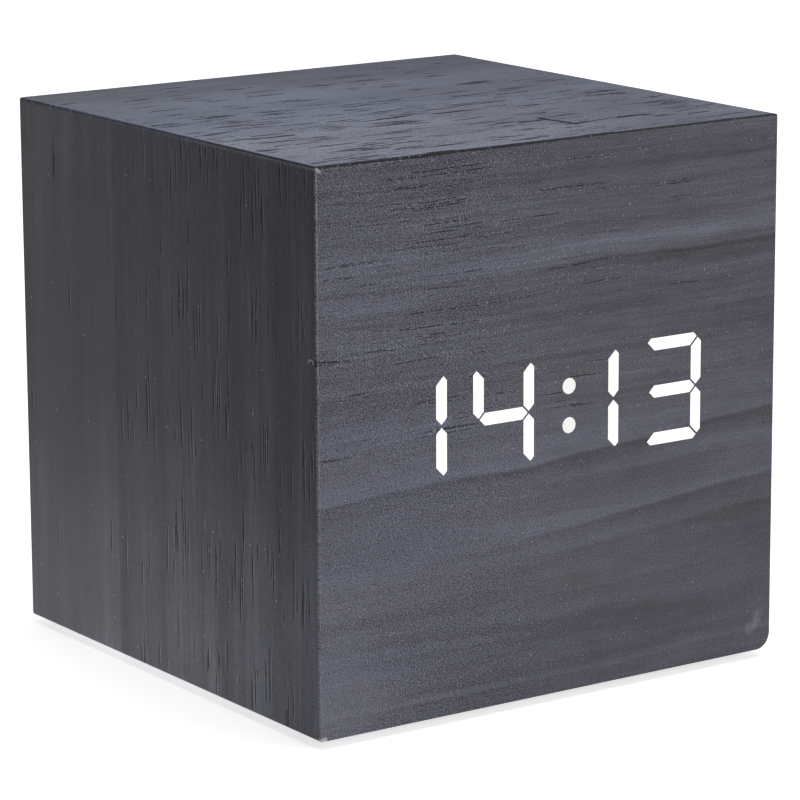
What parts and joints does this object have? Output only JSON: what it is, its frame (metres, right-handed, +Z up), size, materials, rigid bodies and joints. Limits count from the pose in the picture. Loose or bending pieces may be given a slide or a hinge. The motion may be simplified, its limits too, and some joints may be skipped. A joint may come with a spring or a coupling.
{
  "type": "digital alarm clock",
  "caption": "Cube-shaped wooden digital alarm clock with lit digits in its front, and keys, a power inlet and a battery door at the back.",
  "frame": {"origin": "middle of the case's footprint, on the surface that its feet stand on", "axes": "+Z up, the lit front faces -Y, +X to the right seen from the front"},
  "size_m": [0.065, 0.065, 0.066],
  "materials": {
    "front_veneer": "grey wood-grain skin, satin, fine open pores",
    "wrap_veneer": "grey wood-grain skin, matt, open pores",
    "fibreboard": "raw fibreboard, matt",
    "batten_wood": "plain softwood, sawn",
    "foot_rubber": "matt black rubber",
    "lit_guide": "translucent white, lit from behind",
    "film": "frosted film",
    "white_plastic": "white moulded plastic",
    "black_plastic": "fine spark-eroded black plastic",
    "key_plastic": "smooth dark grey plastic",
    "circuit_board": "green solder mask",
    "dark_component": "moulded black component body",
    "socket_plastic": "natural nylon",
    "screw_steel": "zinc plated",
    "contact_steel": "nickel plated spring steel",
    "plunger_plastic": "grey moulded plastic",
    "cell_wrap": "printed shrink sleeve, plain bands",
    "red_sleeve": "red lead insulation",
    "black_sleeve": "black lead insulation",
    "grey_ribbon": "grey ribbon cable"
  },
  "bodies": {
    "case": {"battery_cell_1": "cell_wrap", "battery_cell_2": "cell_wrap", "battery_cell_3": "cell_wrap", "bottom_board": "fibreboard", "contact_bridge_left": "contact_steel", "contact_bridge_right": "contact_steel", "contact_negative": "contact_steel", "contact_positive": "contact_steel", "controller_chip": "dark_component", "corner_block_left": "batten_wood", "corner_block_right": "batten_wood", "diffuser_film": "film", "display_board": "circuit_board", "display_screw_left": "screw_steel", "display_screw_right": "screw_steel", "display_socket": "socket_plastic", "foot_front_left": "foot_rubber", "foot_front_right": "foot_rubber", "foot_rear_left": "foot_rubber", "foot_rear_right": "foot_rubber", "front_board": "fibreboard", "front_veneer": "front_veneer", "key_board": "circuit_board", "key_board_screw_left": "screw_steel", "key_board_screw_right": "screw_steel", "key_socket": "socket_plastic", "lead_negative": "black_sleeve", "lead_positive": "red_sleeve", "left_board": "fibreboard", "light_guide_colon": "lit_guide", "light_guide_hour_tens": "lit_guide", "light_guide_hour_units": "lit_guide", "light_guide_minute_tens": "lit_guide", "light_guide_minute_units": "lit_guide", "panel_screw_lower_left": "screw_steel", "panel_screw_lower_right": "screw_steel", "panel_screw_upper_left": "screw_steel", "panel_screw_upper_right": "screw_steel", "power_inlet": "dark_component", "rear_batten": "batten_wood", "rear_panel": "black_plastic", "reflector": "white_plastic", "ribbon_cable": "grey_ribbon", "right_board": "fibreboard", "sounder": "dark_component", "switch_body_down": "dark_component", "switch_body_set": "dark_component", "switch_body_up": "dark_component", "timing_crystal": "screw_steel", "top_board": "fibreboard", "veneer_wrap": "wrap_veneer"},
    "battery_door": {"battery_door": "black_plastic"},
    "battery_door_latch": {"battery_door_latch": "black_plastic"},
    "key_set": {"key_set": "key_plastic", "switch_plunger_set": "plunger_plastic"},
    "key_up": {"key_up": "key_plastic", "switch_plunger_up": "plunger_plastic"},
    "key_down": {"key_down": "key_plastic", "switch_plunger_down": "plunger_plastic"}
  },
  "joints": [
    {"name": "key_set_press", "type": "slide", "parent": "case", "child": "key_set", "axis": [0, -1, 0], "range_m": [0, 0.0004], "stiffness_N_per_m": 400},
    {"name": "key_up_press", "type": "slide", "parent": "case", "child": "key_up", "axis": [0, -1, 0], "range_m": [0, 0.0004], "stiffness_N_per_m": 400},
    {"name": "key_down_press", "type": "slide", "parent": "case", "child": "key_down", "axis": [0, -1, 0], "range_m": [0, 0.0004], "stiffness_N_per_m": 400},
    {"name": "battery_door_hinge", "type": "hinge", "parent": "case", "child": "battery_door", "pos_m": [0, 0.0304, 0.01335], "axis": [-1, 0, 0], "range_deg": [0, 95]},
    {"name": "battery_door_latch_press", "type": "slide", "parent": "battery_door", "child": "battery_door_latch", "axis": [0, 0, -1], "range_m": [0, 0.0006], "stiffness_N_per_m": 600}
  ]
}
